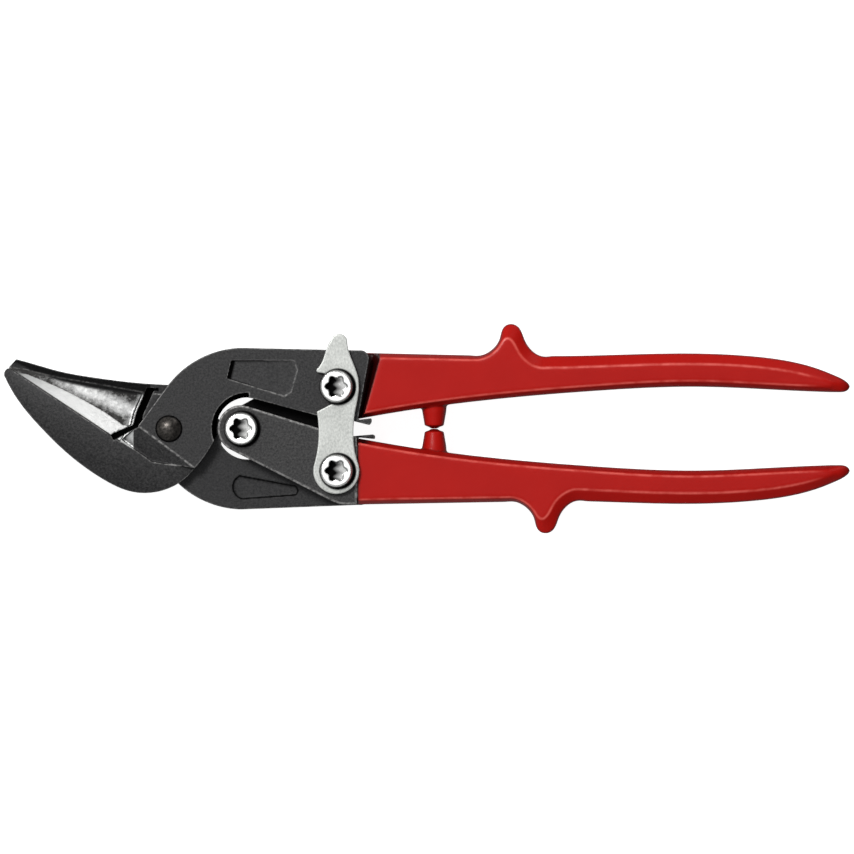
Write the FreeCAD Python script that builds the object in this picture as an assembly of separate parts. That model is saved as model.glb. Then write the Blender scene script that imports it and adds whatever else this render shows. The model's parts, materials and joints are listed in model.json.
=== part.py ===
import FreeCAD, Part
import math
import os

# Compound-leverage aviation snips, closed and latched. Millimetres.
# +X runs along the handles, +Z along every pivot, and the jaws shear on the plane z = 0.
# The front layer (z > 0) holds the lower jaw and the arm of the lower handle.
# The rear layer (z < 0) holds the upper jaw and the arm of the upper handle.
# The origin is the jaw rivet's axis on the shear plane.

# Linkage
JAW_PIVOT = (0.0, 0.0)
HANDLE_PIVOT = (22.2, 0.0)
UPPER_LINK = (51.6, 13.0)
LOWER_LINK = (51.6, -13.0)

# Plates and clearances
PLATE = 6.0             # thickness of each jaw plate and each handle arm
LAYER_GAP = 0.05        # each layer stands this far off the shear plane
RUN = 0.05              # radial clearance of a running pivot
LOOSE = 0.25            # radial clearance of the one pivot where the linkage is opened
STACK_GAP = 0.05        # axial clearance between stacked pieces

# Fasteners
SHANK_R = 3.0
HEAD_R = 5.25
HEAD_FLAT_R = 4.6
HEAD_H = 3.1
STAR_LOBES = 6
STAR_R = 3.05           # mean radius of the lobed recess
STAR_WAVE = 0.42        # how far the lobes stand in or out of that radius
STAR_DEPTH = 2.2
WASHER_R = 5.9
WASHER_T = 1.0
NUT_ACROSS_FLATS = 10.0
NUT_HEX_H = 4.0
NUT_COLLAR_R = 4.3
NUT_COLLAR_H = 1.2
SHANK_PAST_NUT = 0.8
RIVET_R = 3.5
RIVET_HEAD_R = 4.15
RIVET_DOME = 1.9

# Handles
GRIP_HALF_T = 6.0       # outer half thickness of a coated grip
COAT = 0.8              # thickness of the dipped coating
GRIP_BEVEL = 2.4        # how far the bevels round a grip's flat face fall back
GRIP_START_X = 58.0     # the coating starts here on the arm side of a grip
UPPER_HORN_X = 105.4
LOWER_HORN_X = 116.0
REAR_ARM_END_R = 6.2    # rounded end of the rear arm, about the handle pivot
FRONT_ARM_END_R = 7.2   # the front arm's end covers the gap round the rear one
STOP_X = 81.8
STOP_R = 3.7
STOP_ROOT = 9.5         # height at which a stop leaves the grip
STOP_TIP = 0.04         # the stops' tips end this far from the middle, so they just miss

# Latch
LATCH_T = 2.0
LATCH_EYE_R = 7.1

# Opening spring
WIRE_R = 0.45
COIL_R = 4.4
COIL_RISE = 2.0
SPRING_LEG = 9.0
SPRING_POCKET_R = 5.3
SPRING_POCKET_DEPTH = 1.75
SPRING_SLOT_HALF = 0.65

PARTS = "parts"


def at(point, z=0.0):
    return FreeCAD.Vector(point[0], point[1], z)


def polar(centre, radius, degrees):
    angle = math.radians(degrees)
    return (centre[0] + radius * math.cos(angle), centre[1] + radius * math.sin(angle))


def direction(start, end):
    """Unit vector from one point towards another, as (x, y)."""
    run = math.dist(start, end)
    return ((end[0] - start[0]) / run, (end[1] - start[1]) / run)


def wire(start, steps, z=0.0):
    """Closed outline at height z. A step is a corner, ("arc", via, end) or ("curve", point, ...)."""
    edges = []
    here = start
    for step in list(steps) + [start]:
        if step[0] == "arc":
            edges.append(Part.Arc(at(here, z), at(step[1], z), at(step[2], z)).toShape())
            here = step[2]
        elif step[0] == "curve":
            curve = Part.BSplineCurve()
            curve.interpolate([at(p, z) for p in (here,) + step[1:]])
            edges.append(curve.toShape())
            here = step[-1]
        elif math.dist(here, step) > 1e-6:
            edges.append(Part.LineSegment(at(here, z), at(step, z)).toShape())
            here = step
    return Part.Wire(edges)


def slab(start, steps, low, high):
    """Plate with the given outline between two heights."""
    return Part.Face(wire(start, steps, low)).extrude(FreeCAD.Vector(0, 0, high - low))


def disc(centre, radius, low, high):
    return Part.makeCylinder(radius, high - low, at(centre, low))


def dome_side(radius, base, height):
    """Point halfway up a spherical dome, as (radius, height), for an arc from its rim to its top."""
    sphere_r = (radius * radius + height * height) / (2 * abs(height))
    half_angle = math.asin(radius / sphere_r) / 2
    drop = sphere_r * (1 - math.cos(half_angle))
    return (sphere_r * math.sin(half_angle), base + height - math.copysign(drop, height))


def turned(centre, start, *steps):
    """Solid of revolution about Z at centre. The outline is in (radius, height)."""
    flat = Part.Face(wire(start, steps))
    flat.rotate(FreeCAD.Vector(), FreeCAD.Vector(1, 0, 0), 90)
    solid = flat.revolve(FreeCAD.Vector(), FreeCAD.Vector(0, 0, 1), 360)
    solid.translate(at(centre))
    return solid


def slanted(corners, far_z):
    """Prism from a flat polygon at far_z to a tilted polygon given by (x, y, z) corners."""
    near = [FreeCAD.Vector(*c) for c in corners]
    far = [at(c, far_z) for c in corners]
    faces = [Part.Face(Part.makePolygon(ring + ring[:1])) for ring in (near, far)]
    for i in range(len(near)):
        j = (i + 1) % len(near)
        side = [near[i], near[j], far[j], far[i], near[i]]
        faces.append(Part.Face(Part.makePolygon(side)))
    solid = Part.Solid(Part.Shell(faces))
    if solid.Volume < 0:
        solid.reverse()
    return solid


def ellipsoid(centre, half_sizes, degrees):
    """Ellipsoid centred at (x, y, z), with its long side turned by degrees about Z."""
    matrix = FreeCAD.Matrix()
    matrix.scale(FreeCAD.Vector(*half_sizes))
    ball = Part.makeSphere(1.0).transformGeometry(matrix)
    ball.rotate(FreeCAD.Vector(), FreeCAD.Vector(0, 0, 1), degrees)
    ball.translate(FreeCAD.Vector(*centre))
    return ball


def turned_over(shape):
    """The same shape rolled half a turn about the X axis, from one layer to the other."""
    copy = shape.copy()
    copy.rotate(FreeCAD.Vector(), FreeCAD.Vector(1, 0, 0), 180)
    return copy


def one_solid(shape):
    solids = shape.removeSplitter().Solids
    return max(solids, key=lambda s: s.Volume)


# ---- jaws ----

LOBE_LEFT = (-9.4, 0.9)
LOBE_TOP = (0.0, 13.7)
LOBE_BOTTOM = (8.0, -12.2)
POCKET_CENTRE = (24.3, 0.0)
POCKET_R = 9.5
POCKET_START = 84           # degrees round the pocket's centre
POCKET_DRAFT = 1.6          # how much wider the front jaw's pocket is at its face
COLLAR_R = 6.5              # the rear jaw closes to this radius round the handle pivot
HEEL_LEFT = (-14.6, -3.4)
HEEL_MIDDLE = (-5.2, -10.2)
HEEL_GRADE = 0.38           # fall of the heel facet per millimetre from the lobe's lower edge
NOSE = (-49.6, 18.6)
EDGE_MIDDLE = (-33.2, 12.8)
EDGE_END = (-14.2, 1.2)
BOWL_CENTRE = (-18.4, -1.0)
BOWL_SIZE = (38.0, 14.5, 6.2)
HOLLOW_CENTRE = (-23.2, -5.6)
HOLLOW_SIZE = (20.0, 4.6, 2.6)
BOWL_TURN = -31.0
BEVEL_TIP = (-48.6, 18.3)
BEVEL_END = (-15.0, -4.0)
BEVEL_WIDTH = 4.9           # full width of the ground bevel, reached near the throat
BEVEL_TIP_Z = 1.4           # height of the bevel's upper side at the nose
BEVEL_RISE = 2.5            # how much higher that side stands at the throat
CUTTING_EDGE_Z = 0.35
UPPER_EDGE_NOSE = (-49.2, 18.2)
UPPER_EDGE_MIDDLE = (-33.2, 10.2)
UPPER_EDGE_HEEL = (-13.0, -1.8)
GRIND_LAND = 0.7            # flat left between the upper blade's edge and its hollow grind
GRIND_HALF = 7.0            # half width of the hollow grind
GRIND_DEPTH = 0.95


def pocket_arc(end_degrees):
    """Wide arc of the pocket round the handle pivot, from POCKET_START to end_degrees."""
    middle = (POCKET_START + end_degrees) / 2
    return ("arc", polar(POCKET_CENTRE, POCKET_R, middle), polar(POCKET_CENTRE, POCKET_R, end_degrees))


def jaw_plate(pocket, tail_y, toe):
    """Flat plate of a jaw in the front layer: lobe round the rivet, pocket round the handle pivot, and a
    tail whose toe reaches under the grip to the given point."""
    steps = [
        LOBE_TOP,
        ("arc", (8.4, 21.0), (22.0, 24.9)),
        (58.6, tail_y),
        ("arc", (61.0, tail_y - 0.8), (61.6, 21.2)),
        (58.6, 4.6),
        (58.3, 2.7),
        (toe[0], 3.2),
        ("arc", (toe[0] + 0.15, 2.3), (toe[0] - 0.6, toe[1])),
        (57.0, 2.3),
        (45.0, 4.2),
        polar(POCKET_CENTRE, POCKET_R, POCKET_START),
    ]
    steps += pocket + [("arc", (12.9, -5.6), LOBE_BOTTOM)]
    return slab(LOBE_LEFT, steps, LAYER_GAP, PLATE)


def pocket_draft():
    """Cutter that widens the front jaw's pocket towards its face."""
    sweep = 110
    up = FreeCAD.Vector(0, 0, 1)
    cone = Part.makeCone(POCKET_R, POCKET_R + POCKET_DRAFT, PLATE, at(POCKET_CENTRE), up, sweep)
    cone.rotate(at(POCKET_CENTRE), up, POCKET_START + 4)
    return cone


def bevel_cutter():
    """Cutter that grinds the bevel: a straight wall from BEVEL_TIP to BEVEL_END, and a floor that falls
    from its foot to the curved cutting edge."""
    run = math.dist(BEVEL_TIP, BEVEL_END)
    along = direction(BEVEL_TIP, BEVEL_END)
    across = (-along[1], along[0])
    tip_width = 0.25
    past_edge = 1.6
    sections = []
    for share in (-0.06, 0.0, 0.12, 0.25, 0.4, 0.6, 0.8, 1.0):
        grown = 1 - (1 - max(share, 0.0)) ** 2.2
        width = tip_width + BEVEL_WIDTH * grown
        foot = BEVEL_TIP_Z + BEVEL_RISE * grown
        grade = (foot - CUTTING_EDGE_Z) / width
        reach = width + past_edge
        ring = []
        for v, z in ((0, foot), (reach, foot - grade * reach), (reach, 2 * PLATE), (0, 2 * PLATE)):
            x = BEVEL_TIP[0] + along[0] * run * share + across[0] * v
            y = BEVEL_TIP[1] + along[1] * run * share + across[1] * v
            ring.append(FreeCAD.Vector(x, y, z))
        sections.append(Part.makePolygon(ring + ring[:1]))
    return Part.makeLoft(sections, True, True)


def lower_blade():
    """Bowl-shaped blade: a domed forging with a hollow back and a ground bevel along its cutting edge."""
    steps = [
        ("arc", EDGE_MIDDLE, EDGE_END),
        LOBE_LEFT,
        LOBE_BOTTOM,
        ("curve", (3.4, -16.6), (-3.7, -19.5), (-11.1, -19.5), (-20.9, -15.2),
         (-30.7, -8.1), (-39.3, 0.2), (-46.7, 9.1), (-50.3, 15.5)),
        ("arc", (-50.6, 17.6), NOSE),
    ]
    blade = slab(NOSE, steps, LAYER_GAP, 2 * PLATE)
    blade = blade.common(ellipsoid(BOWL_CENTRE + (0.0,), BOWL_SIZE, BOWL_TURN))
    hollow = ellipsoid(HOLLOW_CENTRE + (0.0,), HOLLOW_SIZE, BOWL_TURN)
    return blade.cut([bevel_cutter(), heel_prism(2 * PLATE), hollow])


def heel_prism(far_z):
    """Prism between the heel facet, which falls from the lobe's lower edge to the bowl, and height far_z."""
    along = direction(LOBE_LEFT, LOBE_BOTTOM)
    down = (along[1], -along[0])
    corners = []
    for x, y in (LOBE_LEFT, LOBE_BOTTOM, HEEL_MIDDLE, HEEL_LEFT):
        distance = (x - LOBE_LEFT[0]) * down[0] + (y - LOBE_LEFT[1]) * down[1]
        corners.append((x, y, PLATE - HEEL_GRADE * distance))
    return slanted(corners, far_z)


def throat_slot():
    """Narrow relief across the lower blade at the end of its bevel."""
    floor = 1.2
    return slab((-9.3, 2.2), [(-17.9, -1.9), (-17.0, -3.6), (-9.4, 0.5)], floor, 2 * PLATE)


def plate_recess():
    """Recessed panel on the lower jaw's plate, deep at its left end and running out to the right."""
    deep = PLATE - 0.9
    shallow = PLATE - 0.15
    left, right = 18.0, 39.6
    corners = []
    for x, y in ((left, 15.5), (35.6, 10.0), (37.6, 11.2), (right, 18.0), (38.6, 21.0), (19.3, 21.0)):
        corners.append((x, y, deep + (shallow - deep) * (x - left) / (right - left)))
    return slanted(corners, PLATE + 1)


def lower_jaw():
    jaw = jaw_plate([pocket_arc(190)], 24.1, (62.4, 1.1)).fuse([lower_blade(), heel_prism(LAYER_GAP)])
    jaw = jaw.cut([throat_slot(), plate_recess(), pocket_draft()])
    jaw = jaw.cut(disc(JAW_PIVOT, RIVET_R + RUN, -1, 2 * PLATE))
    jaw = jaw.cut(disc(UPPER_LINK, SHANK_R + RUN, -1, 2 * PLATE))
    return one_solid(jaw)


def upper_blade():
    """Narrow blade in the rear layer, with a bevelled back and a hollow-ground inner face."""
    steps = [
        (-47.0, 21.4),
        ("curve", (-41.2, 19.8), (-33.8, 17.7), (-23.4, 15.8), (-8.6, 14.0), (0.0, 13.5)),
        (8.0, 12.2),
        (4.0, -4.0),
        (-9.4, -2.4),
        UPPER_EDGE_HEEL,
        ("arc", UPPER_EDGE_MIDDLE, UPPER_EDGE_NOSE),
    ]
    blade = slab((-49.3, 18.9), steps, -PLATE, -LAYER_GAP)
    back = []
    for edge in blade.Edges:
        box = edge.BoundBox
        if box.XLength > 46 and box.YMin > 12 and box.ZMin > -1:
            back.append(edge)
    blade = blade.makeChamfer(2.2, 3.0, back)
    return blade.cut(hollow_grind())


def hollow_grind():
    """Cylindrical grind along the upper blade's edge, which stops at a thin rim before the throat."""
    run = math.dist(UPPER_EDGE_NOSE, UPPER_EDGE_HEEL)
    along = direction(UPPER_EDGE_NOSE, UPPER_EDGE_HEEL)
    across = (-along[1], along[0])
    wheel_r = (GRIND_HALF ** 2 + GRIND_DEPTH ** 2) / (2 * GRIND_DEPTH)
    offset = GRIND_LAND + GRIND_HALF
    overrun = 5.0
    x = UPPER_EDGE_NOSE[0] + across[0] * offset - along[0] * overrun
    y = UPPER_EDGE_NOSE[1] + across[1] * offset - along[1] * overrun
    axis_z = wheel_r - GRIND_DEPTH - LAYER_GAP
    wheel = Part.makeCylinder(wheel_r, run + 3 * overrun, FreeCAD.Vector(x, y, axis_z), at(along))
    rim = [(-6.8, 14.2), (-7.1, 13.0), (-10.7, 5.0), (-11.7, 0.8)]
    reach = slab((-60.0, 40.0), rim + [(-60.0, -10.0)], -PLATE, 0)
    return wheel.common(reach)


def throat_relief():
    """Deep groove in the upper jaw's inner face, where its ground blade meets the plate."""
    depth = 3.4
    blade_side = [(-9.9, 5.0), (-10.8, 1.4), (-12.6, -1.4)]
    plate_side = [(-8.4, -0.6), (-8.0, 4.2), (-4.3, 12.5)]
    return slab((-6.7, 12.5), blade_side + plate_side, -depth, 1)


def name_panel():
    """Plain sunk panel on the upper jaw's plate."""
    depth = 0.4
    steps = [
        (38.0, -17.6),
        ("arc", (39.6, -18.6), (39.0, -20.4)),
        (22.6, -21.6),
        ("arc", (20.2, -19.6), (20.6, -15.6)),
    ]
    return slab((21.8, -14.6), steps, -LAYER_GAP - depth, 1)


def upper_jaw():
    collar = [polar(HANDLE_PIVOT, COLLAR_R, 154),
              ("arc", polar(HANDLE_PIVOT, COLLAR_R, 178), polar(HANDLE_PIVOT, COLLAR_R, 200))]
    jaw = turned_over(jaw_plate([pocket_arc(149)] + collar, 23.5, (63.4, 1.8))).fuse(upper_blade())
    jaw = jaw.cut([throat_relief(), name_panel()])
    jaw = jaw.cut(disc(JAW_PIVOT, RIVET_R + RUN, -2 * PLATE, 1))
    jaw = jaw.cut(disc(LOWER_LINK, SHANK_R + LOOSE, -2 * PLATE, 1))
    return one_solid(jaw)


def jaw_rivet():
    """Domed rivet through both jaws, peened into a low head at the back."""
    front = PLATE + STACK_GAP
    rim = front + 0.35
    rear = -PLATE - STACK_GAP
    rear_r = RIVET_HEAD_R + 0.6
    rear_rim = rear - 0.2
    rear_dome = -1.1
    return turned(
        JAW_PIVOT, (0, rear_rim + rear_dome),
        ("arc", dome_side(rear_r, rear_rim, rear_dome), (rear_r, rear_rim)),
        (rear_r, rear),
        (RIVET_R, rear),
        (RIVET_R, front),
        (RIVET_HEAD_R, front),
        (RIVET_HEAD_R, rim),
        ("arc", dome_side(RIVET_HEAD_R, rim, RIVET_DOME), (0, rim + RIVET_DOME)),
    )


# ---- handles ----

def arm(end_r, low, high):
    """Forged arm in the rear layer, from the handle pivot past the upper link to the grip."""
    lower_tangent = polar(HANDLE_PIVOT, end_r, -74.5)
    upper_tangent = polar(HANDLE_PIVOT, end_r, 118)
    steps = [
        (45.5, -0.35),
        (GRIP_START_X + 2, 3.1),
        (GRIP_START_X + 2, 23.3),
        (55.5, 23.4),
        ("arc", (52.4, 23.1), (49.6, 22.0)),
        upper_tangent,
        ("arc", polar(HANDLE_PIVOT, end_r, 200), lower_tangent),
    ]
    return slab(lower_tangent, steps, low, high)


def grip_outline(horn_x, start_x, inset=0.0):
    """Start point and steps of a grip's outline, with its finger horn at horn_x, drawn in by inset."""
    top = -inset
    low = inset
    steps = [
        (horn_x - 12.0, 22.6 + top),
        ("curve", (horn_x - 6.5 + low, 23.8 + top), (horn_x - 3.4 + low, 27.8),
         (horn_x - 2.3 + low, 31.2 + top), (horn_x, 32.35 + top), (horn_x + 2.4 + top, 31.3 + top),
         (horn_x + 4.2 + top, 27.4), (horn_x + 7.2 + top, 23.4 + top), (horn_x + 12.5, 22.4 + top)),
        ("curve", (158.0, 23.2 + top), (180.0, 22.3 + top), (194.0, 20.2 + top), (204.3, 16.8 + top)),
        ("curve", (206.6 + top, 15.8 + top), (208.8 + top, 14.5 + top / 2), (209.9 + top, 13.0),
         (208.9 + top, 11.6 + low / 2), (206.8 + top, 11.2 + low), (204.4, 11.2 + low)),
        ("curve", (190.0, 11.8 + low), (163.0, 12.9 + low), (131.0, 11.6 + low), (102.0, 9.2 + low),
         (84.0, 7.1 + low), (start_x, 2.9 + low)),
    ]
    return (start_x, 23.4 + top), steps


def face_outline(horn_x, start_x, inset=0.0):
    """Start point and steps of a grip's flat face, in the same order as grip_outline. The bevel round the
    face is narrow ahead of the horn and on the inner side, and wide behind the horn."""
    top = -inset
    low = inset
    end_x = 202.0 - 2 * inset
    steps = [
        (horn_x - 12.0, 21.3 + top),
        ("curve", (horn_x - 6.2 + low, 22.9 + top), (horn_x - 3.6 + low, 25.4),
         (horn_x - 2.3 + low, 27.2 + top), (horn_x - 1.0, 27.9 + top), (horn_x + 0.6 + top, 26.8 + top),
         (horn_x + 2.4 + top, 23.6), (horn_x + 5.6 + top, 20.2 + top), (horn_x + 11.0, 18.8 + top)),
        ("curve", (158.0, 20.0 + top), (180.0, 19.2 + top), (192.0, 17.6 + top), (end_x, 15.0 + top / 2)),
        ("curve", (end_x + 1.5, 14.5 + top / 4), (end_x + 2.2, 13.9), (end_x + 1.5, 13.3 + low / 4),
         (end_x, 13.0 + low / 2)),
        ("curve", (188.0, 13.5 + low), (163.0, 14.6 + low), (131.0, 13.2 + low), (102.0, 10.8 + low),
         (84.0, 8.7 + low), (start_x, 4.4 + low)),
    ]
    return (start_x, 22.0 + top), steps


def bevelled_grip(horn_x, inset):
    """Grip body with bevelled faces, drawn in all round by inset."""
    start, steps = grip_outline(horn_x, GRIP_START_X, inset)
    face_start, face_steps = face_outline(horn_x, GRIP_START_X, inset)
    face_z = GRIP_HALF_T - inset
    side_z = face_z - GRIP_BEVEL
    body = slab(start, steps, -side_z, side_z)
    for side in (-1, 1):
        rings = [wire(start, steps, side * side_z), wire(face_start, face_steps, side * face_z)]
        body = body.fuse(Part.makeLoft(rings, True, True))
    return body


def shoulder_cutter(shift):
    """Clears the front layer ahead of the grip, leaving a slanted, sloping shoulder. A shift moves the
    shoulder back and the floor down, by the coating's thickness for the steel inside."""
    top = GRIP_HALF_T + 1
    reach = 50.0
    below, above = -2.0, 24.5
    foot = [(58.0 + shift, below), (63.8 + shift, above)]
    brow = [(58.4 + shift, below), (65.8 + shift, above)]
    rings = []
    for near, z in ((foot, -LAYER_GAP - shift), (brow, top)):
        rings.append(wire((reach, below), near + [(reach, above)], z))
    return Part.makeLoft(rings, True, True)


def stop_stud(radius, root, tip):
    """Tapered stop on the inner side of a grip, pointing down at the other handle."""
    nub = 0.9
    height = root - tip
    stud = turned(
        (0, 0), (0, 0), (radius * 1.1, 0), (radius, height * 0.45), (radius * 0.8, height - nub),
        (radius * 0.35, height - nub * 0.4), (radius * 0.3, height), (0, height),
    )
    stud.rotate(FreeCAD.Vector(), FreeCAD.Vector(1, 0, 0), 90)
    stud.translate(FreeCAD.Vector(STOP_X, root, 0))
    return stud


def grip_outside(horn_x):
    grip = bevelled_grip(horn_x, 0.0)
    grip = grip.fuse(stop_stud(STOP_R, STOP_ROOT, STOP_TIP))
    return grip.cut(shoulder_cutter(0.0))


def grip_core(horn_x):
    """Steel inside the coating."""
    core = bevelled_grip(horn_x, COAT)
    core = core.fuse(stop_stud(STOP_R - COAT, STOP_ROOT, STOP_TIP + COAT))
    return core.cut(shoulder_cutter(COAT))


def spring_seat():
    """Pocket and leg slot for the opening spring in the inner face of the rear arm."""
    floor = -LAYER_GAP - SPRING_POCKET_DEPTH
    pocket = disc(HANDLE_PIVOT, SPRING_POCKET_R, floor, 1)
    slot = Part.makeBox(SPRING_LEG + 2, 2 * SPRING_SLOT_HALF, 1 - floor)
    slot.translate(FreeCAD.Vector(0, -COIL_R - SPRING_SLOT_HALF, floor))
    slot.rotate(FreeCAD.Vector(), FreeCAD.Vector(0, 0, 1), arm_angle())
    slot.translate(at(HANDLE_PIVOT))
    return pocket.fuse(slot)


def arm_angle():
    """Angle of the upper arm's pivot line above the X axis, in degrees."""
    rise = UPPER_LINK[1] - HANDLE_PIVOT[1]
    return math.degrees(math.atan2(rise, UPPER_LINK[0] - HANDLE_PIVOT[0]))


def handle(horn_x, arm_end_r):
    """Forged handle in the upper handle's position: bare arm in the rear layer and core of the grip."""
    front_of_grip = Part.makeBox(GRIP_START_X, 80, 40, FreeCAD.Vector(0, -40, -20))
    core = grip_core(horn_x).cut(front_of_grip)
    bare_arm = arm(arm_end_r, -PLATE, -LAYER_GAP).common(front_of_grip)
    neck = arm(arm_end_r, -PLATE + COAT, -LAYER_GAP)
    coated_neck = neck.cut(front_of_grip).common(core)
    shape = bare_arm.fuse([core, coated_neck]).cut(spring_seat())
    shape = shape.cut(disc(HANDLE_PIVOT, SHANK_R + RUN, -2 * PLATE, 1))
    return one_solid(shape.cut(disc(UPPER_LINK, SHANK_R + RUN, -2 * PLATE, 1)))


def coating(horn_x):
    """Dipped coating over the core of a grip, in the upper handle's position."""
    return one_solid(grip_outside(horn_x).cut(grip_core(horn_x)))


# ---- fasteners, latch and spring ----

def star_recess(centre, top):
    """Six-lobed driver recess, cut down from the top of a screw head."""
    points = []
    step = 360 / (8 * STAR_LOBES)
    for i in range(8 * STAR_LOBES):
        wave = math.cos(math.radians(STAR_LOBES * i * step))
        points.append(at(polar((0, 0), STAR_R + STAR_WAVE * wave, i * step)))
    curve = Part.BSplineCurve()
    curve.interpolate(points, PeriodicFlag=True)
    cutter = Part.Face(Part.Wire(curve.toShape())).extrude(FreeCAD.Vector(0, 0, STAR_DEPTH + 1))
    cutter.translate(at(centre, top - STAR_DEPTH))
    return cutter


def link_screw(centre, seat):
    """Button-head screw with its head seated at height seat, running back through both layers."""
    end = -PLATE - 3 * STACK_GAP - WASHER_T - NUT_HEX_H - NUT_COLLAR_H - SHANK_PAST_NUT
    top = seat + HEAD_H
    body = turned(
        centre, (0, end), (SHANK_R - 0.6, end), (SHANK_R, end + 0.6), (SHANK_R, seat), (HEAD_R - 0.2, seat),
        (HEAD_R, seat + 0.4), ("arc", (HEAD_R - 0.12, seat + 1.9), (HEAD_FLAT_R, top)), (0, top),
    )
    return one_solid(body.cut(star_recess(centre, top)))


def rear_washer(centre):
    top = -PLATE - STACK_GAP
    blank = disc(centre, WASHER_R, top - WASHER_T, top)
    rims = [e for e in blank.Edges if e.BoundBox.ZLength < 1e-3]
    bore = disc(centre, SHANK_R + RUN, top - 2 * WASHER_T, top + 1)
    return one_solid(blank.makeChamfer(0.2, rims).cut(bore))


def lock_nut(centre):
    """Hexagon lock nut behind the washer, with a rounded collar at its rear."""
    top = -PLATE - 2 * STACK_GAP - WASHER_T
    corner_r = NUT_ACROSS_FLATS / math.sqrt(3)
    corners = [at(polar(centre, corner_r, 60 * i), top - NUT_HEX_H) for i in range(7)]
    hexagon = Part.Face(Part.makePolygon(corners)).extrude(FreeCAD.Vector(0, 0, NUT_HEX_H))
    flat_r = NUT_ACROSS_FLATS / 2
    blank = turned(
        centre, (0, top), (flat_r - 0.1, top), (corner_r, top - 0.5), (corner_r, top - NUT_HEX_H + 0.5),
        (flat_r - 0.1, top - NUT_HEX_H), (0, top - NUT_HEX_H),
    )
    rear = top - NUT_HEX_H - NUT_COLLAR_H
    collar = turned(
        centre, (0, top - 1), (NUT_COLLAR_R, top - 1), (NUT_COLLAR_R, rear + 0.5),
        ("arc", (NUT_COLLAR_R - 0.15, rear + 0.15), (NUT_COLLAR_R - 0.5, rear)), (0, rear),
    )
    nut = hexagon.common(blank).fuse(collar)
    return one_solid(nut.cut(disc(centre, SHANK_R + RUN, rear - 1, top + 1)))


def latch():
    """Flat steel latch on the lower link, hooked round the shank of the upper link's screw."""
    low = PLATE + STACK_GAP
    left = polar(LOWER_LINK, LATCH_EYE_R, 160)
    right = polar(LOWER_LINK, LATCH_EYE_R, 18)
    notch_r = 3.4
    steps = [
        ("arc", (46.1, -3.5), (45.6, 5.2)),
        (50.2, 7.6),
        polar(UPPER_LINK, notch_r, -100),
        ("arc", polar(UPPER_LINK, notch_r, -5), polar(UPPER_LINK, notch_r, 92)),
        (46.0, 17.3),
        ("arc", (45.5, 17.7), (45.7, 18.4)),
        ("curve", (46.9, 20.0), (48.4, 24.0), (50.2, 27.6)),
        ("arc", (52.8, 29.2), (55.0, 27.2)),
        ("curve", (56.2, 21.8), (58.2, 16.4), (58.6, 12.6), (57.4, 5.0), (56.9, -2.5), right),
        ("arc", polar(LOWER_LINK, LATCH_EYE_R, -90), left),
    ]
    plate = slab(left, steps, low, low + LATCH_T)
    return one_solid(plate.cut(disc(LOWER_LINK, SHANK_R + RUN, low - 1, low + LATCH_T + 1)))


def opening_spring():
    """Torsion spring round the handle pivot, with one leg in each arm."""
    start = arm_angle() - 90
    sweep = -2 * start - 720
    count = 40
    coil = []
    for i in range(count + 1):
        share = i / count
        height = COIL_RISE * (share - 0.5)
        coil.append(at(polar(HANDLE_PIVOT, COIL_R, start + sweep * share), height))
    legs = []
    for end, angle in ((coil[0], arm_angle()), (coil[-1], -arm_angle())):
        legs.append([end + at(polar((0, 0), SPRING_LEG * k / 4, angle)) for k in (4, 3, 2, 1)])
    curve = Part.BSplineCurve()
    curve.interpolate(legs[0] + coil + legs[1][::-1])
    first = curve.FirstParameter
    section = Part.makeCircle(WIRE_R, curve.value(first), curve.tangent(first)[0])
    spine = Part.Wire(curve.toShape())
    return spine.makePipeShell([Part.Wire(section)], True, False)


def build():
    seat = PLATE + STACK_GAP
    raised_seat = seat + LATCH_T + STACK_GAP
    pieces = {
        "lower_jaw": lower_jaw(),
        "upper_jaw": upper_jaw(),
        "jaw_rivet": jaw_rivet(),
        "upper_handle": handle(UPPER_HORN_X, REAR_ARM_END_R),
        "lower_handle": turned_over(handle(LOWER_HORN_X, FRONT_ARM_END_R)),
        "upper_grip_coating": coating(UPPER_HORN_X),
        "lower_grip_coating": turned_over(coating(LOWER_HORN_X)),
        "latch": latch(),
        "opening_spring": opening_spring(),
    }
    pivots = {
        "handle_pivot": (HANDLE_PIVOT, seat),
        "upper_link": (UPPER_LINK, raised_seat),
        "lower_link": (LOWER_LINK, raised_seat),
    }
    for name, (centre, head_seat) in pivots.items():
        pieces[name + "_screw"] = link_screw(centre, head_seat)
        pieces[name + "_washer"] = rear_washer(centre)
        pieces[name + "_nut"] = lock_nut(centre)
    return pieces


os.makedirs(PARTS, exist_ok=True)
for node, solid in build().items():
    solid.exportStep(os.path.join(PARTS, node + ".step"))
    print(node, solid.ShapeType, len(solid.Solids), solid.isValid(), round(solid.Volume, 1))
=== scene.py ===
import json
import math

import bmesh
import bpy
import numpy as np
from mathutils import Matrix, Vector, kdtree

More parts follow.
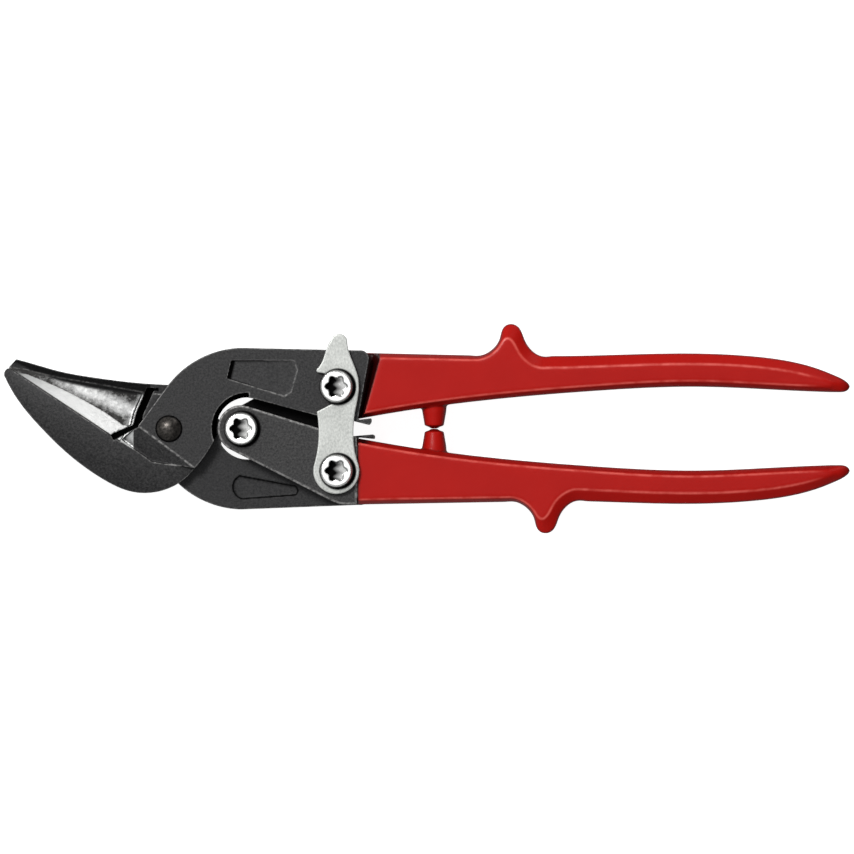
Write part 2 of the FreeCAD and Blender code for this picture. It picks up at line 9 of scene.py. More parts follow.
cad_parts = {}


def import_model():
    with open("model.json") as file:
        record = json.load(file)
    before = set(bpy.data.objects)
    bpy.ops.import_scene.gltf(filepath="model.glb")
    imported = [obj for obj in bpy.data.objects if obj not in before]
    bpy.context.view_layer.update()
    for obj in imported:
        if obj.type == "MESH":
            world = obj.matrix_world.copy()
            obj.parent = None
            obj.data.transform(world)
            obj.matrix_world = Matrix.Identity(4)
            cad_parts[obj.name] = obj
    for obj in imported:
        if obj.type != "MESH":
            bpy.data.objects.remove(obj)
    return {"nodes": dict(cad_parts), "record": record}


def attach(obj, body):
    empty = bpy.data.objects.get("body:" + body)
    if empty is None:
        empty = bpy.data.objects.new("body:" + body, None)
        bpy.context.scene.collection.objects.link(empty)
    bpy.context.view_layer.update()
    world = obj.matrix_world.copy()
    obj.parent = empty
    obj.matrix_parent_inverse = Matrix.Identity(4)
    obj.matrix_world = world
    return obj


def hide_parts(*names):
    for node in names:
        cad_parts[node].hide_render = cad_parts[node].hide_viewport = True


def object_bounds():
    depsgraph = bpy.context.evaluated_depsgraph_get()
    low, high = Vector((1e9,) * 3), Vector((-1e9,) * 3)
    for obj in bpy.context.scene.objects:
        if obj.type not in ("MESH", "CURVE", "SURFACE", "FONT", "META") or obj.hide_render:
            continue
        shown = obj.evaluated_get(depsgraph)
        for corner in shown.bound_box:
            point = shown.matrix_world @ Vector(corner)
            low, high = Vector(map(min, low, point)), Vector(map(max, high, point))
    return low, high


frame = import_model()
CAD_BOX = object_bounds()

# Aviation snips, lying flat with the pivots along Z. Metres, in the frame's own axes.

MM = 0.001
low = Vector(CAD_BOX[0])
high = Vector(CAD_BOX[1])
CENTRE = (low + high) / 2
LENGTH = high.x - low.x


# ---- node helpers ----

class Graph:
    """Short way to write a material's nodes."""

    def __init__(self, name):
        self.material = bpy.data.materials.new(name)
        self.material.use_nodes = True
        self.nodes = self.material.node_tree.nodes
        self.links = self.material.node_tree.links
        self.shader = self.nodes["Principled BSDF"]
        self.place = self.nodes.new("ShaderNodeTexCoord").outputs["Object"]

    def add(self, kind, settings=None, **inputs):
        """New node. An input is given by its name, or as i0, i1, ... by its number."""
        node = self.nodes.new(kind)
        for key, value in (settings or {}).items():
            setattr(node, key, value)
        for key, value in inputs.items():
            by_number = key[0] == "i" and key[1:].isdigit()
            self.set(node.inputs[int(key[1:]) if by_number else key.replace("_", " ")], value)
        return node

    def set(self, socket, value):
        if isinstance(value, bpy.types.NodeSocket):
            self.links.new(value, socket)
        elif hasattr(socket, "default_value"):
            socket.default_value = value

    def noise(self, scale, detail=3.0, roughness=0.5, stretch=None):
        place = self.place
        if stretch:
            place = self.add("ShaderNodeMapping", Vector=self.place, Scale=stretch).outputs[0]
        return self.add("ShaderNodeTexNoise", Vector=place, Scale=scale, Detail=detail,
                        Roughness=roughness).outputs["Fac"]

    def ramp(self, value, stops):
        """Grey levels along value, from stops of (position, level)."""
        node = self.add("ShaderNodeValToRGB", Fac=value)
        elements = node.color_ramp.elements
        while len(elements) < len(stops):
            elements.new(0.5)
        for element, (position, level) in zip(elements, stops):
            element.position = position
            element.color = rgb(level, level, level)
        return node.outputs["Color"]

    def math(self, operation, a, b=0.0, clamp=False):
        return self.add("ShaderNodeMath", {"operation": operation, "use_clamp": clamp}, i0=a, i1=b).outputs[0]

    def mix(self, factor, a, b):
        node = self.add("ShaderNodeMix", {"data_type": "RGBA"})
        self.set(node.inputs[0], factor)
        self.set(node.inputs[6], a)
        self.set(node.inputs[7], b)
        return node.outputs[2]

    def mask(self, name):
        """A value from 0 to 1 that the mesh carries on its points."""
        return self.add("ShaderNodeAttribute", {"attribute_name": name}).outputs["Fac"]

    def bump(self, height, distance, strength=1.0, normal=None):
        node = self.add("ShaderNodeBump", Height=height, Distance=distance, Strength=strength)
        if normal is not None:
            self.set(node.inputs["Normal"], normal)
        return node.outputs["Normal"]

    def silhouette_shade(self, start, depth):
        """Painted shade: 0 where the surface faces the viewer, rising to depth where it turns away."""
        facing = self.add("ShaderNodeLayerWeight", Blend=0.5).outputs["Facing"]
        return self.math("MULTIPLY", self.ramp(facing, ((start, 0.0), (0.95, 1.0))), depth)

    def finish(self, **inputs):
        for key, value in inputs.items():
            self.set(self.shader.inputs[key.replace("_", " ")], value)
        return self.material


def rgb(r, g, b):
    return (r, g, b, 1.0)


# ---- materials ----

def forging_material():
    """Black-finished forging with a grainy skin, rubbed edges that also carry a painted highlight, bare steel
    where it is ground, with painted shade and highlight on it, and painted shade in creases and gaps.
    """
    g = Graph("black_forging")
    grain = g.noise(1500.0, 4.0, 0.8)
    patches = g.noise(110.0, 3.0)
    skin = g.ramp(grain, ((0.40, 0.0), (0.62, 1.0)))
    colour = g.mix(skin, rgb(0.002, 0.002, 0.0025), rgb(0.033, 0.032, 0.033))
    pale = g.mix(skin, rgb(0.012, 0.012, 0.012), rgb(0.078, 0.076, 0.075))
    colour = g.mix(g.mask("tone"), colour, pale)
    colour = g.mix(g.math("MULTIPLY", patches, 0.35), colour, rgb(0.014, 0.0135, 0.0135))
    # Pale lines along the convex edges: rubbed steel, and in part a painted highlight.
    broken = g.ramp(g.noise(900.0, 3.0, 0.6), ((0.36, 0.1), (0.60, 1.0)))
    wear_and_highlight = g.math("MULTIPLY", g.mask("edge"), broken, clamp=True)
    colour = g.mix(g.math("MULTIPLY", wear_and_highlight, 0.9), colour, rgb(0.42, 0.41, 0.40))
    ground = g.mask("ground")
    lines = g.noise(3000.0, 2.0, 0.5, (0.14, 1.0, 1.0))
    bare = g.mix(lines, rgb(0.68, 0.68, 0.67), rgb(0.88, 0.88, 0.87))
    blotches = g.ramp(g.noise(620.0, 5.0, 0.8), ((0.34, 1.0), (0.62, 0.0)))
    # On ground steel: painted shade and a painted highlight band, over random blotchy stains.
    ground_shade = g.mask("ground_shade")
    stain_and_shade = g.math("ADD", g.math("MULTIPLY", ground_shade, 0.62), g.math("MULTIPLY", blotches, 0.36))
    stain_and_shade = g.math("ADD", stain_and_shade, 0.30, clamp=True)
    bare = g.mix(g.math("MULTIPLY", stain_and_shade, g.mask("stained")), bare, rgb(0.035, 0.034, 0.033))
    colour = g.mix(ground, colour, bare)
    # Near black with no shine where the painted shade mask is set: shade in creases, gaps, slots and under
    # heads.
    painted_shade = g.mask("painted_shade")
    colour = g.mix(painted_shade, colour, rgb(0.0012, 0.0012, 0.0012))
    # Painted shade, darker where the surface turns away from the view.
    colour = g.mix(g.silhouette_shade(0.25, 0.9), colour, rgb(0.001, 0.001, 0.001))
    rough = g.ramp(grain, ((0.3, 0.44), (0.7, 0.64)))
    rough = g.mix(wear_and_highlight, rough, rgb(0.38, 0.38, 0.38))
    rough = g.mix(ground, rough, g.ramp(lines, ((0.3, 0.34), (0.7, 0.48))))
    metal = g.math("MAXIMUM", ground, g.math("MULTIPLY", wear_and_highlight, 0.5))
    relief = g.mix(ground, grain, g.math("MULTIPLY", lines, 0.08))
    shine = g.math("MULTIPLY", g.math("SUBTRACT", 1.0, painted_shade), 0.30)
    return g.finish(Base_Color=colour, Roughness=rough, Metallic=metal, Normal=g.bump(relief, 0.10 * MM),
                    Specular_IOR_Level=shine)


def coating_material():
    """Red dipped plastic: satin, slightly uneven, polished along its creases, which also carry a painted
    highlight, and darker with painted shade where the shade mask is set, partly where the coat thins out.
    """
    g = Graph("red_coating")
    patches = g.noise(60.0, 3.0)
    speck = g.noise(1100.0, 3.0)
    colour = g.mix(patches, rgb(0.365, 0.0045, 0.0028), rgb(0.455, 0.0075, 0.0045))
    crease_polish_and_highlight = g.mask("edge")
    broken = g.ramp(g.noise(260.0, 3.0), ((0.34, 0.35), (0.60, 1.0)))
    crease_polish_and_highlight = g.math("MULTIPLY", crease_polish_and_highlight, broken)
    # Painted highlight along the creases, in a paler red.
    colour = g.mix(g.math("MULTIPLY", crease_polish_and_highlight, 0.85), colour, rgb(0.86, 0.14, 0.11))
    # Painted shade where the painted shade mask is set.
    colour = g.mix(g.mask("painted_shade"), colour, rgb(0.020, 0.0012, 0.0012))
    # Painted shade, darker where the surface turns away from the view.
    colour = g.mix(g.silhouette_shade(0.22, 0.92), colour, rgb(0.030, 0.0012, 0.0010))
    rough = g.ramp(speck, ((0.3, 0.34), (0.7, 0.46)))
    shine = g.math("ADD", g.math("MULTIPLY", crease_polish_and_highlight, 0.40), 0.10)
    skin = g.bump(g.noise(300.0, 2.0), 0.08 * MM, 0.5)
    return g.finish(Base_Color=colour, Roughness=rough, Normal=g.bump(speck, 0.03 * MM, 0.6, skin),
                    Specular_IOR_Level=shine, Coat_Weight=0.03, Coat_Roughness=0.18)


def steel_material(name, dark, pale, roughness, metal, grain=1200.0, bump=0.012, stretch=None):
    """Plated or bare steel with fine grain, brighter where its edges are rubbed."""
    g = Graph(name)
    fine = g.noise(grain, 3.0, 0.6, stretch)
    cloud = g.noise(180.0, 3.0)
    shade = g.math("ADD", g.math("MULTIPLY", fine, 0.7), g.math("MULTIPLY", cloud, 0.3))
    colour = g.mix(g.ramp(shade, ((0.36, 0.0), (0.64, 1.0))), dark, pale)
    colour = g.mix(g.math("MULTIPLY", g.mask("edge"), 0.5), colour, rgb(0.90, 0.90, 0.88))
    # Near black and dull where the painted shade mask is set: shade in recesses, on flanks and round heads.
    painted_shade = g.mask("painted_shade")
    colour = g.mix(painted_shade, colour, rgb(0.003, 0.003, 0.003))
    rough = g.ramp(fine, ((0.3, roughness - 0.06), (0.7, roughness + 0.06)))
    clean = g.math("SUBTRACT", 1.0, painted_shade)
    return g.finish(Base_Color=colour, Roughness=rough, Metallic=g.math("MULTIPLY", clean, metal),
                    Normal=g.bump(fine, bump * MM), Specular_IOR_Level=g.math("MULTIPLY", clean, 0.3))


STEELS = {
    "plated_steel": dict(dark=rgb(0.66, 0.66, 0.65), pale=rgb(0.86, 0.86, 0.84), roughness=0.24, metal=0.9,
                         bump=0.004),
    "latch_steel": dict(dark=rgb(0.40, 0.41, 0.39), pale=rgb(0.62, 0.63, 0.60), roughness=0.46, metal=0.45,
                        grain=2000.0, bump=0.015, stretch=(1.0, 0.6, 1.0)),
    "rivet_steel": dict(dark=rgb(0.030, 0.027, 0.025), pale=rgb(0.11, 0.10, 0.09), roughness=0.34, metal=0.9),
    "zinc_steel": dict(dark=rgb(0.42, 0.43, 0.45), pale=rgb(0.62, 0.63, 0.65), roughness=0.36, metal=0.95),
    "spring_steel": dict(dark=rgb(0.10, 0.10, 0.11), pale=rgb(0.24, 0.24, 0.25), roughness=0.32, metal=0.95),
}
MATERIALS = {"black_forging": forging_material(), "red_coating": coating_material()}
for slot, look in STEELS.items():
    MATERIALS[slot] = steel_material(slot, **look)
SLOTS = {s["node"]: s["material_slot"] for s in frame["record"]["subparts"]}
BODIES = {n: b for b, nodes in frame["record"]["behaviour"]["bodies"].items() for n in nodes}


def paint(piece, slot):
    piece.data.materials.clear()
    piece.data.materials.append(MATERIALS[slot])


# ---- masks on the points of a mesh ----

def points_and_normals(mesh):
    """Positions in millimetres and unit normals, one row for each point."""
    count = len(mesh.vertices)
    points = np.empty(3 * count, dtype=np.float32)
    normals = np.empty(3 * count, dtype=np.float32)
    mesh.vertices.foreach_get("co", points)
    mesh.vertex_normals.foreach_get("vector", normals)
    return points.reshape(count, 3) / MM, normals.reshape(count, 3)


def write_mask(mesh, name, values):
    attribute = mesh.attributes.new(name, "FLOAT", "POINT")
    attribute.data.foreach_set("value", np.clip(values, 0, 1).astype(np.float32))


def inside(points, box):
    """True for the points within a box that is given by its low and high corners."""
    bottom, top = box
    return np.all((points > bottom) & (points < top), axis=1)


def left_of(points, start, end):
    """Signed distance in millimetres from the line start-end, positive on its left."""
    run = np.array(end) - np.array(start)
    run = run / np.linalg.norm(run)
    away = points[:, :2] - np.array(start)
    return run[0] * away[:, 1] - run[1] * away[:, 0]


def soft(distance, width):
    """0 to 1 as distance rises from 0 to width."""
    return np.clip(distance / width, 0, 1)


def sharp_lines(mesh, degrees):
    """Points along the source mesh's sharp edges: one list of convex ones, one of concave ones."""
    edges = bmesh.new()
    edges.from_mesh(mesh)
    bmesh.ops.remove_doubles(edges, verts=edges.verts, dist=0.002 * MM)
    found = ([], [])
    for edge in edges.edges:
        if len(edge.link_faces) != 2:
            continue
        angle = math.degrees(edge.calc_face_angle_signed())
        if abs(angle) < degrees:
            continue
        a, b = (v.co for v in edge.verts)
        steps = max(1, int((b - a).length / (0.2 * MM)))
        found[0 if angle > 0 else 1].extend(a.lerp(b, i / steps) for i in range(steps + 1))
    edges.free()
    return found


def nearness(mesh, line, reach):
    """1 on the line, falling to 0 at reach, for each point of the mesh."""
    if not line:
        return np.zeros(len(mesh.vertices))
    tree = kdtree.KDTree(len(line))
    for i, place in enumerate(line):
        tree.insert(place, i)
    tree.balance()
    away = np.array([tree.find(v.co)[2] for v in mesh.vertices])
    return 1 - away / reach


def read_mask(mesh, name):
    values = np.empty(len(mesh.vertices), dtype=np.float32)
    mesh.attributes[name].data.foreach_get("value", values)
    return values


def deepen(mesh, values):
    """Raise the painted shade mask wherever values are higher than what it already holds."""
    deeper = np.maximum(read_mask(mesh, "painted_shade"), np.clip(values, 0, 1))
    mesh.attributes["painted_shade"].data.foreach_set("value", deeper.astype(np.float32))


def fade_wear_and_highlight(mesh, share):
    """Take away a share of the mask of worn edges and their painted highlight, from 0 to 1 for each point."""
    worn_and_highlit = read_mask(mesh, "edge") * (1 - share)
    mesh.attributes["edge"].data.foreach_set("value", worn_and_highlit.astype(np.float32))


def ease(mesh, rounds, weight):
    """Move every point towards the middle of its neighbours, in full where weight is 1."""
    count = len(mesh.vertices)
    ends = np.empty(2 * len(mesh.edges), dtype=np.int64)
    mesh.edges.foreach_get("vertices", ends)
    a, b = ends.reshape(-1, 2).T
    degree = np.bincount(a, minlength=count) + np.bincount(b, minlength=count)
    places = np.empty(3 * count)
    mesh.vertices.foreach_get("co", places)
    places = places.reshape(count, 3)
    for _ in range(rounds):
        middle = np.empty_like(places)
        for axis in range(3):
            column = places[:, axis]
            total = np.bincount(a, column[b], count) + np.bincount(b, column[a], count)
            middle[:, axis] = total / degree
        places += 0.5 * weight[:, None] * (middle - places)
    mesh.vertices.foreach_set("co", places.ravel())
    mesh.update()


# ---- pieces ----

SHARP_DEGREES = 18
BEVEL_DEGREES = 60
GRAIN_SIZE = 1.1
BEVEL_WEAR_AND_HIGHLIGHT = 1.8
CREASE_DARKNESS = 0.85
CREASE_REACH = 0.8


def refined(node, voxel, rounds, grain=0.0, wear_and_highlight=0.35, crease_z=0.0, tone=0.0, bevel=0.0):
    """New piece with the node's shape, remeshed evenly and smoothed in so many rounds. Lengths are in
    millimetres: voxel size, height of the forged grain, width of the worn edges with their painted highlight,
    and bevel on the sharp edges. Only edges further than crease_z from the shear plane are marked as worn and
    highlighted. Concave creases get painted shade. The tone is 0 for the darkest forging and 1 for the
    palest."""
    source = frame["nodes"][node].data
    copy = bpy.data.objects.new(node + "_raw", source.copy())
    bpy.context.scene.collection.objects.link(copy)
    if bevel:
        eased = copy.modifiers.new("bevel", "BEVEL")
        eased.width = bevel * MM
        eased.segments = 2
        eased.limit_method = "ANGLE"
        eased.angle_limit = math.radians(BEVEL_DEGREES)
    remesh = copy.modifiers.new("remesh", "REMESH")
    remesh.mode = "VOXEL"
    remesh.voxel_size = voxel * MM
    remesh.adaptivity = 0.0
    smooth = copy.modifiers.new("smooth", "SMOOTH")
    smooth.factor = 0.5
    smooth.iterations = rounds
    if grain:
        texture = bpy.data.textures.new(node + "_grain", "CLOUDS")
        texture.noise_scale = GRAIN_SIZE * MM
        texture.noise_depth = 2
        displace = copy.modifiers.new("grain", "DISPLACE")
        displace.texture = texture
        displace.texture_coords = "LOCAL"
        displace.strength = grain * MM
        displace.mid_level = 0.5
    bpy.context.view_layer.update()
    graph = bpy.context.evaluated_depsgraph_get()
    mesh = bpy.data.meshes.new_from_object(copy.evaluated_get(graph))
    bpy.data.objects.remove(copy)
    convex, concave = sharp_lines(source, SHARP_DEGREES)
    convex = [place for place in convex if abs(place.z) >= crease_z * MM]
    worn_and_highlit = nearness(mesh, convex, wear_and_highlight * MM) * (BEVEL_WEAR_AND_HIGHLIGHT if bevel else 1.0)
    write_mask(mesh, "edge", worn_and_highlit)
    # Painted shade along the concave creases, away from the highlighted edges.
    crease_shade = nearness(mesh, concave, CREASE_REACH * wear_and_highlight * MM) * (worn_and_highlit <= 0)
    write_mask(mesh, "painted_shade", CREASE_DARKNESS * crease_shade)
    write_mask(mesh, "tone", np.full(len(mesh.vertices), tone))
    piece = bpy.data.objects.new(node + "_piece", mesh)
    bpy.context.scene.collection.objects.link(piece)
    mesh.shade_smooth()
    paint(piece, SLOTS[node])
    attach(piece, BODIES[node])
    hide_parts(node)
    return piece


# Places on the part, in millimetres from the jaw pivot. The parts' own coordinates are x, y and z.
BEVEL_TIP = (-48.6, 18.3)
BEVEL_HEEL = (-15.0, -4.0)
HEEL_RIDGE = (-5.2, -10.2)
GROUND_END_X = -10.8
SLOT_TOP = ((-9.3, 2.2), (-17.9, -1.9))
SLOT_FOOT = ((-17.0, -3.6), (-9.4, 0.5))
RIM_TOP = (-5.6, 15.0)
RIM_FOOT = (-10.8, 1.4)
RECESS_WALL = ((18.0, 15.5), (19.3, 21.0))
POCKET_CENTRE = (24.3, 0.0)
POCKET_R = 9.5
BACK_X = (-46.7, -41.2, -33.8, -23.4, -8.6)
BACK_Y = (21.4, 19.8, 17.7, 15.8, 14.0)
BACK_BAND_X = (-47.0, -42.0, -30.0, -15.0)
BACK_BAND = (0.8, 1.9, 2.7, 3.1)
HIGHLIGHT_BAND_LINE = ((-34.8, 15.5), (-11.9, 5.8))
FACE_Z = 6.0
LATCH_SEAT_Z = 8.0
GRIP_START_X = 58.0
SHOULDER_END_X = 67.5
STOP_X = 81.8
FAR_GRIP_X = 194.0
TIP_X = 210.0
HANDLE_PIVOT = (22.2, 0.0)
UPPER_LINK = (51.6, 13.0)
LOWER_LINK = (51.6, -13.0)
SCREWS = {
    "handle_pivot": (HANDLE_PIVOT, 9.15),
    "upper_link": (UPPER_LINK, 11.2),
    "lower_link": (LOWER_LINK, 11.2),
}
ANY = math.inf
POCKET_REACH = 1.9
POCKET_BOX = ((-ANY, -4.0, -ANY), (26.0, ANY, FACE_Z - 0.2))
THROAT_BOX = ((-18.2, -ANY, 0.3), (-8.8, ANY, 4.5))
RECESS_BOX = ((-ANY, 14.6, 4.0), (ANY, 21.4, FACE_Z - 0.12))
RECESS_TOP_BOX = ((18.0, 20.2, -ANY), (41.0, 22.0, ANY))
RECESS_END_BOX = ((36.5, -ANY, -ANY), (41.0, 22.0, ANY))
GROOVE_BOX = ((-ANY, -2.0, -4.0), (-3.2, 12.6, -0.7))
PANEL_BOX = ((18.5, -23.0, -0.7), (41.0, -13.5, ANY))
STOP_BOX = ((STOP_X - 5.0, -9.0, -ANY), (STOP_X + 5.0, 9.0, ANY))
HEAD_H = 3.1
HEAD_FLANK_R = 4.4
DRIVER_R = 3.8
HEAD_SHADOW_R = 5.55
DOME_R = 3.2


def grind_lower_jaw(mesh):
    """Bare steel on the bevel and on the small flat beyond the throat slot. Painted shade with some grease
    round the pocket, and painted shade in the slot and along the front wall of the sunk panel."""
    points, normals = points_and_normals(mesh)
    x, y, z = points.T
    above_bevel_foot = left_of(points, BEVEL_TIP, BEVEL_HEEL)
    above_ridge = left_of(points, BEVEL_HEEL, HEEL_RIDGE)
    above = np.where(x < BEVEL_HEEL[0], above_bevel_foot, above_ridge)
    in_slot = np.minimum(left_of(points, *SLOT_TOP), left_of(points, *SLOT_FOOT))
    area = soft(above - 0.1, 0.25) * soft(GROUND_END_X - x, 0.3) * (1 - soft(in_slot + 0.2, 0.2))
    write_mask(mesh, "ground", area * soft(normals[:, 2] - 0.2, 0.2) * (z > 0.2))
    write_mask(mesh, "ground_shade", np.zeros(len(points)))
    write_mask(mesh, "stained", np.zeros(len(points)))
    from_pocket = np.hypot(x - POCKET_CENTRE[0], y - POCKET_CENTRE[1]) - POCKET_R
    # Painted shade with some grease round the pocket.
    deepen(mesh, inside(points, POCKET_BOX) * (from_pocket < POCKET_REACH))
    # Painted shade in the throat slot.
    deepen(mesh, inside(points, THROAT_BOX) * soft(in_slot + 0.1, 0.3))
    # Painted shade along the front wall of the sunk panel.
    from_wall = -left_of(points, *RECESS_WALL)
    deepen(mesh, inside(points, RECESS_BOX) * (from_wall > -0.5) * (1 - soft(from_wall - 1.0, 0.5)))
    fade_wear_and_highlight(mesh, 0.6 * (inside(points, RECESS_TOP_BOX) | inside(points, RECESS_END_BOX)))


def grind_upper_jaw(mesh):
    """Bare steel on the blade's hollow-ground inner face, with random stains, painted shade towards its back,
    its nose and its edge, and a painted highlight in a band across it and along its rim. Painted shade in the
    groove behind the blade, along its back and round the sunk panel."""
    points, normals = points_and_normals(mesh)
    x, y, z = points.T
    before_rim = left_of(points, RIM_FOOT, RIM_TOP)
    inner = soft(normals[:, 2] - 0.84, 0.08) * (z > -2.2)
    below_back = np.interp(x, BACK_X, BACK_Y) - y
    band = np.interp(x, BACK_BAND_X, BACK_BAND)
    write_mask(mesh, "ground", inner * soft(before_rim, 0.3) * soft(below_back - band, 0.8))
    write_mask(mesh, "stained", np.ones(len(points)))
    # Painted highlight in a band across the ground face and along its rim; painted shade elsewhere on it.
    from_zone = np.abs(left_of(points, *HIGHLIGHT_BAND_LINE))
    highlight_band = (1 - soft(from_zone - 0.6, 3.2)) * soft(x + 42.0, 14.0)
    rim_highlight = 1 - soft(before_rim - 0.6, 2.6)
    write_mask(mesh, "ground_shade", 1 - np.maximum(highlight_band, 0.9 * rim_highlight))
    # Painted shade in the groove behind the blade.
    deepen(mesh, inside(points, GROOVE_BOX) * (before_rim < 0.3))
    # Painted shade along the back of the blade, above the ground face.
    deepen(mesh, 0.8 * (1 - soft(below_back - band, 0.8)) * (x < RIM_TOP[0]) * (below_back > 0.3))
    # Painted shade along the border of the sunk panel, in place of its edge highlight.
    panel = inside(points, PANEL_BOX)
    deepen(mesh, 0.95 * panel * soft(read_mask(mesh, "edge"), 0.3))
    fade_wear_and_highlight(mesh, panel)


def shade_shear_face(mesh, side):
    """Painted shade on a handle's shear face and its spring seat. The side is 1 where that face looks
    forwards.
    """
    points, normals = points_and_normals(mesh)
    facing = soft(side * normals[:, 2] - 0.6, 0.3)
    deepen(mesh, 0.93 * facing * (side * points[:, 2] < 0.2) * (points[:, 0] < GRIP_START_X))


def finish_grip(mesh, side):
    """Smooth a grip's moulded faces but not its stop, and paint shade on its shoulder, ledge, low corner and
    tip, and at its start, where the coat also thins out. The side is 1 where the shoulder faces the front, -1
    where it faces the back."""
    points = points_and_normals(mesh)[0]
    near_start = 1 - soft(points[:, 0] - 60.0, 4.0)
    ease(mesh, rounds=12, weight=1.0 - 0.9 * np.maximum(inside(points, STOP_BOX), near_start))
    points, normals = points_and_normals(mesh)
    x, y, z = points.T
    fade_wear_and_highlight(mesh, soft(x - FAR_GRIP_X, 8.0))
    # Painted shade on the tip, the shoulder's walls and ledge, and the low corner.
    deepen(mesh, 0.75 * soft(x - TIP_X + 3.5, 4.0))
    deepen(mesh, soft(-normals[:, 0] - 0.22, 0.25) * (x < SHOULDER_END_X))
    ledge = (side * normals[:, 2] > 0.5) * (np.abs(z) < 0.6) * (x < SHOULDER_END_X)
    deepen(mesh, ledge)
    low_corner = np.abs(y) < 4.2 + 0.16 * (x - GRIP_START_X)
    deepen(mesh, low_corner * (1 - soft(x - 60.5, 3.0)))
    # Darker at the start: the dip coat thins out there, with painted shade as well.
    deepen(mesh, 0.9 * (1 - soft(x - GRIP_START_X - 0.2, 0.9)))


def finish_screw(mesh, centre, top):
    """Painted shade on the flank of the head and in its driver recess, darker on one side of the recess."""
    x, y, z = points_and_normals(mesh)[0].T
    radius = np.hypot(x - centre[0], y - centre[1])
    depth = top - z
    across = x - centre[0] + 0.5 * np.sin(2.6 * (y - centre[1]))
    recess_shade = 1 - 0.62 * soft(across + 0.6, 2.4)
    deepen(mesh, recess_shade * soft(depth - 0.2, 0.25) * (radius < DRIVER_R) * (depth < 3))
    # Painted shade on the head's flank.
    deepen(mesh, 0.97 * soft(depth - 0.25, 0.5) * (radius > HEAD_FLANK_R) * (depth < HEAD_H + 0.1))


def head_shadow_ring(mesh, centre, seat):
    """Painted shadow round the foot of a screw head, wider on the handle side."""
    x, y, z = points_and_normals(mesh)[0].T
    radius = np.hypot(x - centre[0] - 0.5, y - centre[1] + 0.1)
    deepen(mesh, (1 - soft(radius - HEAD_SHADOW_R, 0.3)) * (z > seat - 0.5))


def finish_rivet(mesh):
    """Painted shade round the foot of the rivet's dome."""
    x, y, z = points_and_normals(mesh)[0].T
    deepen(mesh, soft(np.hypot(x, y) - DOME_R, 0.6) * (z > FACE_Z))


for node, obj in frame["nodes"].items():
    paint(obj, SLOTS[node])

grind_lower_jaw(refined("lower_jaw", voxel=0.26, rounds=2, grain=0.06, tone=0.25).data)
grind_upper_jaw(refined("upper_jaw", voxel=0.26, rounds=2, grain=0.06).data)
arms = {}
for node, side in (("upper_handle", 1), ("lower_handle", -1)):
    arms[node] = refined(node, voxel=0.32, rounds=2, grain=0.06, wear_and_highlight=0.7, crease_z=3.0, tone=0.7,
                         bevel=0.5).data
    shade_shear_face(arms[node], side)
for node, side in (("upper_grip_coating", 1), ("lower_grip_coating", -1)):
    finish_grip(refined(node, voxel=0.36, rounds=1, wear_and_highlight=0.55, crease_z=5.0).data, side)
latch = refined("latch", voxel=0.18, rounds=2, wear_and_highlight=0.25).data
finish_rivet(refined("jaw_rivet", voxel=0.16, rounds=2, wear_and_highlight=0.2).data)
head_shadow_ring(arms["lower_handle"], HANDLE_PIVOT, FACE_Z)
head_shadow_ring(latch, UPPER_LINK, LATCH_SEAT_Z)
head_shadow_ring(latch, LOWER_LINK, LATCH_SEAT_Z)
for pivot, (centre, top) in SCREWS.items():
    finish_screw(refined(pivot + "_screw", voxel=0.15, rounds=2, wear_and_highlight=0.2).data, centre, top)
    refined(pivot + "_washer", voxel=0.18, rounds=1, wear_and_highlight=0.2)
    refined(pivot + "_nut", voxel=0.18, rounds=1, wear_and_highlight=0.2)


# ---- stage ----

FLOOR_HALF = 3.0
FLOOR_GAP = 0.05 * MM
FRAME_PIXELS = 854
PART_PIXELS = 846


def floor():
    """Pale floor that glows a little, and more for the camera, so that it reads as plain white."""
    mesh = bpy.data.meshes.new("floor")
    z = low.z - FLOOR_GAP
    signs = ((-1, -1), (1, -1), (1, 1), (-1, 1))
    corners = [(i * FLOOR_HALF, j * FLOOR_HALF, z) for i, j in signs]
    mesh.from_pydata(corners, [], [(0, 1, 2, 3)])
    obj = bpy.data.objects.new("floor", mesh)
    bpy.context.scene.collection.objects.link(obj)
    g = Graph("floor")
    colour = g.mix(g.noise(3.0), rgb(0.44, 0.44, 0.44), rgb(0.48, 0.48, 0.48))
    seen = g.add("ShaderNodeLightPath").outputs["Is Camera Ray"]
    glow = g.math("ADD", g.math("MULTIPLY", seen, 0.70), 0.22)
    mesh.materials.append(g.finish(Base_Color=colour, Roughness=0.9, Emission_Color=rgb(1, 1, 1),
                                   Emission_Strength=glow, Specular_IOR_Level=0.1))


def area_light(name, place, size, power):
    highlight_band = bpy.data.lights.new(name, "AREA")
    highlight_band.shape = "DISK"
    highlight_band.size = size
    highlight_band.energy = power
    obj = bpy.data.objects.new(name, highlight_band)
    obj.location = place
    obj.rotation_euler = (CENTRE - Vector(place)).to_track_quat("-Z", "Y").to_euler()
    bpy.context.scene.collection.objects.link(obj)


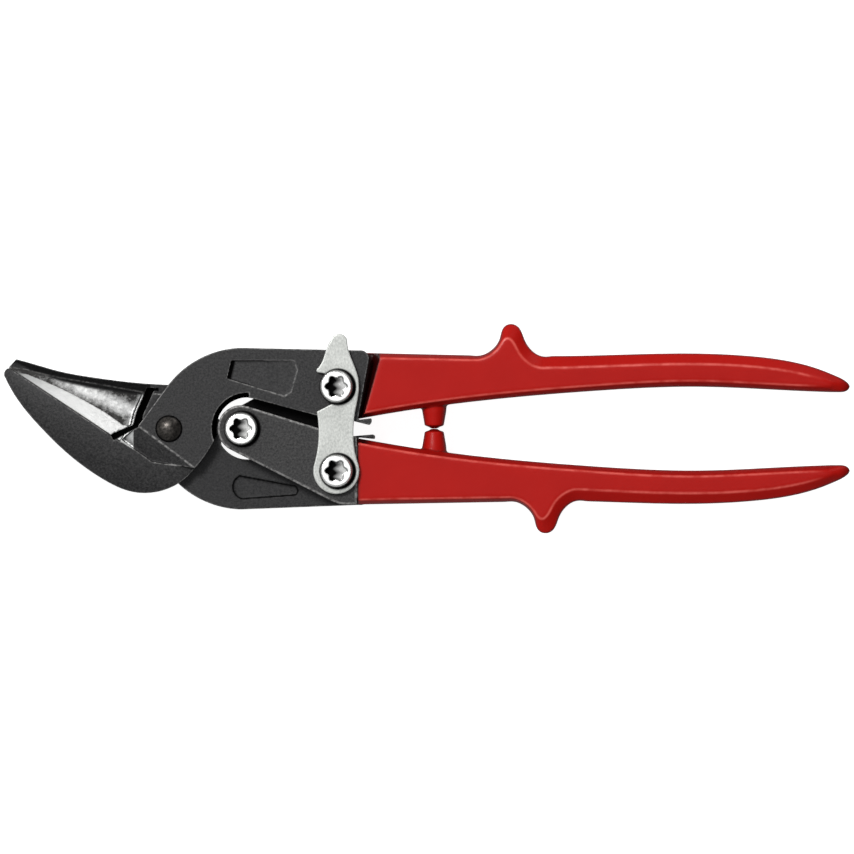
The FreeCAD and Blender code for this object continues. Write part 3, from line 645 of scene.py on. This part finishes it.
def world():
    """Soft studio dome, brighter overhead than at the horizon, and darker behind the handles. The camera sees
    a plain white backdrop instead."""
    scene_world = bpy.data.worlds.new("studio")
    scene_world.use_nodes = True
    nodes = scene_world.node_tree.nodes
    links = scene_world.node_tree.links
    place = nodes.new("ShaderNodeTexCoord")
    split = nodes.new("ShaderNodeSeparateXYZ")
    ramp = nodes.new("ShaderNodeValToRGB")
    ramp.color_ramp.elements[0].position = 0.1
    ramp.color_ramp.elements[0].color = rgb(0.16, 0.165, 0.17)
    ramp.color_ramp.elements[1].position = 0.95
    ramp.color_ramp.elements[1].color = rgb(0.62, 0.63, 0.64)
    links.new(place.outputs["Generated"], split.inputs[0])
    links.new(split.outputs["Z"], ramp.inputs[0])
    side = nodes.new("ShaderNodeMapRange")
    side.inputs["From Min"].default_value = -0.2
    side.inputs["From Max"].default_value = 0.7
    side.inputs["To Min"].default_value = 1.1
    side.inputs["To Max"].default_value = 0.2
    links.new(split.outputs["X"], side.inputs["Value"])
    links.new(side.outputs[0], nodes["Background"].inputs["Strength"])
    links.new(ramp.outputs[0], nodes["Background"].inputs[0])
    backdrop = nodes.new("ShaderNodeBackground")
    backdrop.inputs[0].default_value = rgb(1.0, 1.0, 1.0)
    choice = nodes.new("ShaderNodeMixShader")
    links.new(nodes.new("ShaderNodeLightPath").outputs["Is Camera Ray"], choice.inputs[0])
    links.new(nodes["Background"].outputs[0], choice.inputs[1])
    links.new(backdrop.outputs[0], choice.inputs[2])
    links.new(choice.outputs[0], nodes["World Output"].inputs["Surface"])
    bpy.context.scene.world = scene_world


def camera():
    """Straight down on the part, which nearly fills the width of the frame."""
    data = bpy.data.cameras.new("camera")
    data.type = "ORTHO"
    data.ortho_scale = LENGTH * FRAME_PIXELS / PART_PIXELS
    obj = bpy.data.objects.new("camera", data)
    obj.location = (CENTRE.x, 0.5 * MM, 1.0)
    bpy.context.scene.collection.objects.link(obj)
    bpy.context.scene.camera = obj


floor()
area_light("key", place=(-0.30, 0.42, 0.90), size=0.30, power=8.0)
area_light("overhead", place=(0.04, 0.02, 1.20), size=0.50, power=0.70)
area_light("back", place=(0.60, 0.95, 0.42), size=0.50, power=1.6)
world()
camera()
bpy.context.scene.view_settings.view_transform = "Standard"
